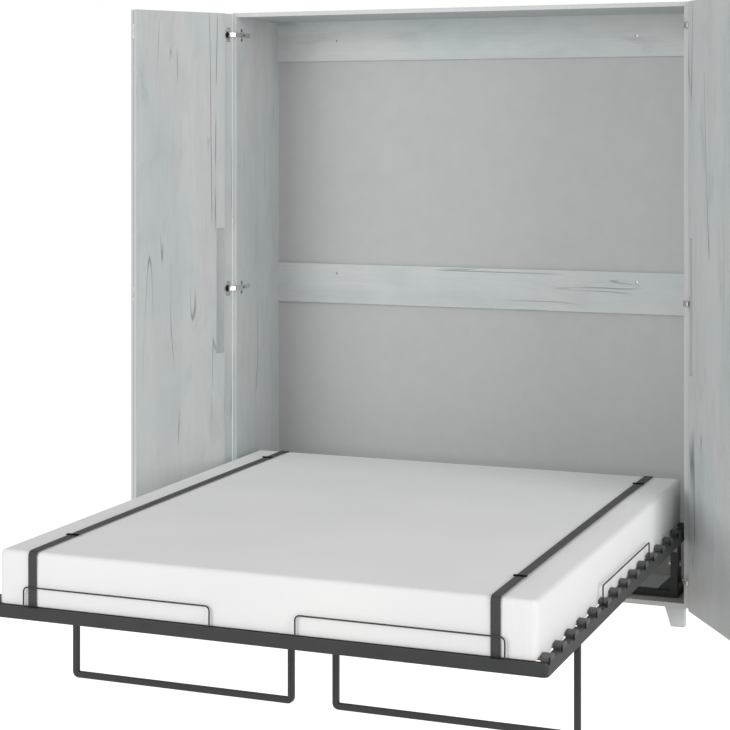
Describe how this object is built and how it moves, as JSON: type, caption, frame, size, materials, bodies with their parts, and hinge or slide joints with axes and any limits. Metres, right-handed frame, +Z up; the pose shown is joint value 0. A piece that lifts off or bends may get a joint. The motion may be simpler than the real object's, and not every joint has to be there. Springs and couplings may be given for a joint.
{
  "type": "murphy wall bed",
  "caption": "Vertical double wall bed: pale oak-decor cabinet with bi-fold doors, steel bed frame with mattress and fold-down U legs, swinging down on low pivots.",
  "frame": {"origin": "on the floor, at the middle of the whole part's outline with the bed down and the doors folded open", "axes": "+X across the bed to the right as seen from the foot end, +Y from the foot end to the wall, +Z up"},
  "size_m": [2.2298, 2.308, 2.2],
  "materials": {
    "decor": "pale grey-white oak decor laminate, vertical grain",
    "decor_rail": "the same decor with its grain along the rail",
    "back_board": "grey lacquered hardboard",
    "frame_steel": "graphite powder coat",
    "nickel": "nickel-plated pressed steel",
    "zinc": "zinc-plated steel",
    "foot_plastic": "light grey moulded plastic",
    "holder_plastic": "dark grey moulded plastic",
    "cap_plastic": "black moulded plastic",
    "slat_wood": "laminated beech",
    "mattress_fabric": "white knitted cover",
    "webbing": "dark grey woven webbing",
    "spring_steel": "satin black paint",
    "rod_chrome": "hard chrome"
  },
  "bodies": {
    "cabinet": {"side_panel_left": "decor", "side_panel_right": "decor", "top_panel": "decor", "bottom_panel": "decor", "back_rail_top": "decor_rail", "back_rail_middle": "decor_rail", "back_panel_upper": "back_board", "back_panel_lower": "back_board", "cabinet_feet": "foot_plastic", "panel_screws": "zinc", "stand_cross_bar": "frame_steel", "stand_side_bars": "frame_steel", "stand_gussets": "frame_steel", "stand_post_left": "frame_steel", "stand_post_right": "frame_steel", "pivot_bolts": "zinc", "gas_spring_brackets": "frame_steel", "hinge_arms_left": "nickel", "hinge_arms_right": "nickel"},
    "bed": {"foot_rail": "frame_steel", "side_rail_left": "frame_steel", "side_rail_right": "frame_steel", "head_rail": "frame_steel", "centre_beam": "frame_steel", "leg_cross_tubes": "frame_steel", "slats": "slat_wood", "slat_holders_left": "holder_plastic", "slat_holders_right": "holder_plastic", "slat_caps_left": "cap_plastic", "slat_caps_right": "cap_plastic", "slat_rests_centre": "holder_plastic", "mattress": "mattress_fabric", "strap_left": "webbing", "strap_right": "webbing", "strap_buckles": "cap_plastic", "mattress_holder_foot_left": "frame_steel", "mattress_holder_foot_right": "frame_steel", "mattress_holder_side_left": "frame_steel", "mattress_holder_side_right": "frame_steel", "pivot_plate_left": "frame_steel", "pivot_plate_right": "frame_steel", "leg_brackets": "frame_steel", "leg_pins": "zinc"},
    "leg_left_body": {"leg_left": "frame_steel"},
    "door_inner_left_body": {"door_inner_left": "decor", "hinge_cups_left": "nickel", "fold_hinges_inner_left": "nickel"},
    "door_outer_left_body": {"door_outer_left": "decor", "fold_hinges_outer_left": "nickel"},
    "gas_cylinder_left_body": {"gas_spring_cylinder_left": "spring_steel"},
    "gas_rod_left_body": {"gas_spring_rod_left": "rod_chrome"},
    "leg_right_body": {"leg_right": "frame_steel"},
    "door_inner_right_body": {"door_inner_right": "decor", "hinge_cups_right": "nickel", "fold_hinges_inner_right": "nickel"},
    "door_outer_right_body": {"door_outer_right": "decor", "fold_hinges_outer_right": "nickel"},
    "gas_cylinder_right_body": {"gas_spring_cylinder_right": "spring_steel"},
    "gas_rod_right_body": {"gas_spring_rod_right": "rod_chrome"}
  },
  "joints": [
    {"name": "bed_raise", "type": "hinge", "parent": "cabinet", "child": "bed", "pos_m": [0, 0.7995, 0.208], "axis": [-1, 0, 0], "range_deg": [0, 90]},
    {"name": "leg_left_fold", "type": "hinge", "parent": "bed", "child": "leg_left_body", "pos_m": [-0.4428, -0.668, 0.305], "axis": [1, 0, 0], "range_deg": [0, 90]},
    {"name": "door_inner_left_hinge", "type": "hinge", "parent": "cabinet", "child": "door_inner_left_body", "pos_m": [-0.872, 0.715, 1.1355], "axis": [0, 0, 1], "range_deg": [0, 22]},
    {"name": "door_outer_left_fold", "type": "hinge", "parent": "door_inner_left_body", "child": "door_outer_left_body", "pos_m": [-1.10063, 0.31699, 1.1355], "axis": [0, 0, -1], "range_deg": [0, 3]},
    {"name": "gas_cylinder_left_tilt", "type": "hinge", "parent": "cabinet", "child": "gas_cylinder_left_body", "pos_m": [-0.836, 1.089, 0.1], "axis": [-1, 0, 0], "range_deg": [0, 4.03]},
    {"name": "gas_rod_left_slide", "type": "slide", "parent": "gas_cylinder_left_body", "child": "gas_rod_left_body", "axis": [0, -0.9845, 0.1753], "range_m": [0, 0.08666]},
    {"name": "leg_right_fold", "type": "hinge", "parent": "bed", "child": "leg_right_body", "pos_m": [0.4428, -0.668, 0.305], "axis": [1, 0, 0], "range_deg": [0, 90]},
    {"name": "door_inner_right_hinge", "type": "hinge", "parent": "cabinet", "child": "door_inner_right_body", "pos_m": [0.872, 0.715, 1.1355], "axis": [0, 0, -1], "range_deg": [0, 22]},
    {"name": "door_outer_right_fold", "type": "hinge", "parent": "door_inner_right_body", "child": "door_outer_right_body", "pos_m": [1.10063, 0.31699, 1.1355], "axis": [0, 0, 1], "range_deg": [0, 3]},
    {"name": "gas_cylinder_right_tilt", "type": "hinge", "parent": "cabinet", "child": "gas_cylinder_right_body", "pos_m": [0.836, 1.089, 0.1], "axis": [-1, 0, 0], "range_deg": [0, 4.03]},
    {"name": "gas_rod_right_slide", "type": "slide", "parent": "gas_cylinder_right_body", "child": "gas_rod_right_body", "axis": [0, -0.9845, 0.1753], "range_m": [0, 0.08666]}
  ],
  "couplings": [
    {"joint": "gas_cylinder_left_tilt", "follows": "bed_raise", "ratio": 0.0448},
    {"joint": "gas_rod_left_slide", "follows": "bed_raise", "m_per_rad": 0.055169},
    {"joint": "gas_cylinder_right_tilt", "follows": "bed_raise", "ratio": 0.0448},
    {"joint": "gas_rod_right_slide", "follows": "bed_raise", "m_per_rad": 0.055169}
  ]
}
